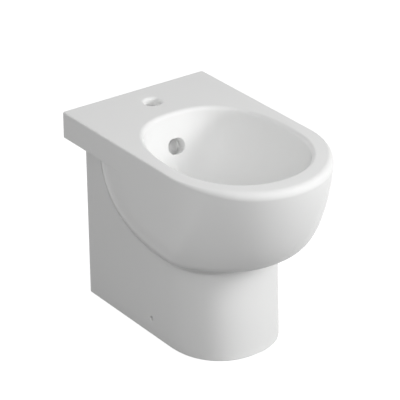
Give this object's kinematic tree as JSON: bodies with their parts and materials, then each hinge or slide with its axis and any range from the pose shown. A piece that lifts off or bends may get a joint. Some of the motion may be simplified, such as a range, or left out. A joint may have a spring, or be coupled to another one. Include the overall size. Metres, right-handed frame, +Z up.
{
  "type": "floor standing bidet",
  "caption": "Back to wall floor standing bidet: glazed ceramic bowl on a narrower pedestal, tap hole, overflow, pop-up waste, bottle trap and floor brackets.",
  "frame": {"origin": "floor level at the centre of the footprint's bounding rectangle, on the symmetry plane", "axes": "+Z up, +Y towards the wall behind the bidet, -Y towards the user's front, +X to the right of a viewer who faces the wall"},
  "size_m": [0.35, 0.55, 0.43],
  "materials": {
    "ceramic": "white glazed vitreous china, high gloss",
    "chrome": "polished chromium plate on brass",
    "brass": "raw turned brass",
    "rubber": "black moulded rubber",
    "seal": "grey moulded rubber",
    "spring_steel": "drawn stainless spring wire",
    "screw_steel": "zinc plated steel",
    "trap_plastic": "white polypropylene, slight gloss",
    "guide_plastic": "natural acetal",
    "bracket_plastic": "grey glass filled nylon"
  },
  "bodies": {
    "fixture": {"ceramic_body": "ceramic", "waste_body": "chrome", "flange_gasket": "rubber", "boss_seal": "rubber", "waste_backnut": "brass", "latch_cartridge": "guide_plastic", "latch_spring": "spring_steel", "tail_nut": "trap_plastic", "tail_washer": "rubber", "dip_tube": "trap_plastic", "trap_body": "trap_plastic", "head_nut": "trap_plastic", "head_washer": "rubber", "trap_cup": "trap_plastic", "cup_ring": "rubber", "outlet_nut": "trap_plastic", "outlet_washer": "rubber", "outlet_pipe": "trap_plastic", "bracket_left": "bracket_plastic", "bracket_right": "bracket_plastic", "side_bushes": "guide_plastic", "side_screws": "screw_steel"},
    "plug": {"plug_cap": "chrome", "plug_seal": "seal", "plug_stem": "screw_steel"}
  },
  "joints": [
    {"name": "plug_press", "type": "slide", "parent": "fixture", "child": "plug", "axis": [0, 0, 1], "range_m": [-0.009, 0], "stiffness_N_per_m": 400, "springref_m": 0.008, "deforming": ["latch_spring"]}
  ]
}
